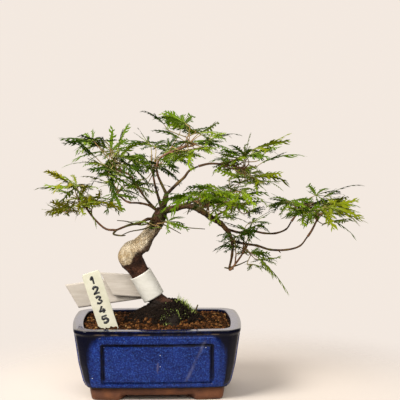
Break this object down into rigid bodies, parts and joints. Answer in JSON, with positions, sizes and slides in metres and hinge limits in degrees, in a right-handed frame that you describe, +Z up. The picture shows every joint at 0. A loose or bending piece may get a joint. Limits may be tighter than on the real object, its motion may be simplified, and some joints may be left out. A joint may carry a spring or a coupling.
{
  "type": "potted japanese maple bonsai",
  "caption": "Small laceleaf maple bonsai with a bent, leaning trunk and drooping lacy leaves, in a cobalt-blue glazed rectangular pot with panels, with a paper tag and a plain plant label.",
  "frame": {"origin": "the middle of the floor under the whole plant, at the level of the pot's feet", "axes": "+X to the plant's right along the pot's long side, towards the reaching boughs; +Y to the back; +Z up"},
  "size_m": [0.309, 0.1738, 0.2607],
  "materials": {
    "glaze": "gloss",
    "soil": "rough",
    "label": "satin",
    "paper": "matte",
    "bark": "rough",
    "leaves": "matte",
    "gold_leaves": "matte"
  },
  "bodies": {
    "root": {"pot": "glaze", "soil": "soil", "plant_label": "label", "paper_tag": "paper", "trunk": "bark", "bough_right": "bark", "bough_right_drop": "bark", "bough_right_upper": "bark", "bough_right_lower": "bark", "bough_right_inner": "bark", "bough_back_right": "bark", "bough_leader": "bark", "bough_leader_left": "bark", "bough_leader_right": "bark", "bough_upper_left": "bark", "bough_left_back": "bark", "bough_left_low": "bark", "bough_front": "bark", "bough_back": "bark", "foliage_upper_left": "leaves", "foliage_low_left": "gold_leaves", "foliage_left_back": "leaves", "foliage_top": "leaves", "foliage_upper_right": "leaves", "foliage_right_centre": "leaves", "foliage_far_right_back": "leaves", "foliage_far_right_front": "leaves", "foliage_drooping": "leaves", "foliage_front": "leaves", "foliage_fork": "leaves", "foliage_back": "leaves", "foliage_back_right": "leaves"}
  },
  "joints": []
}
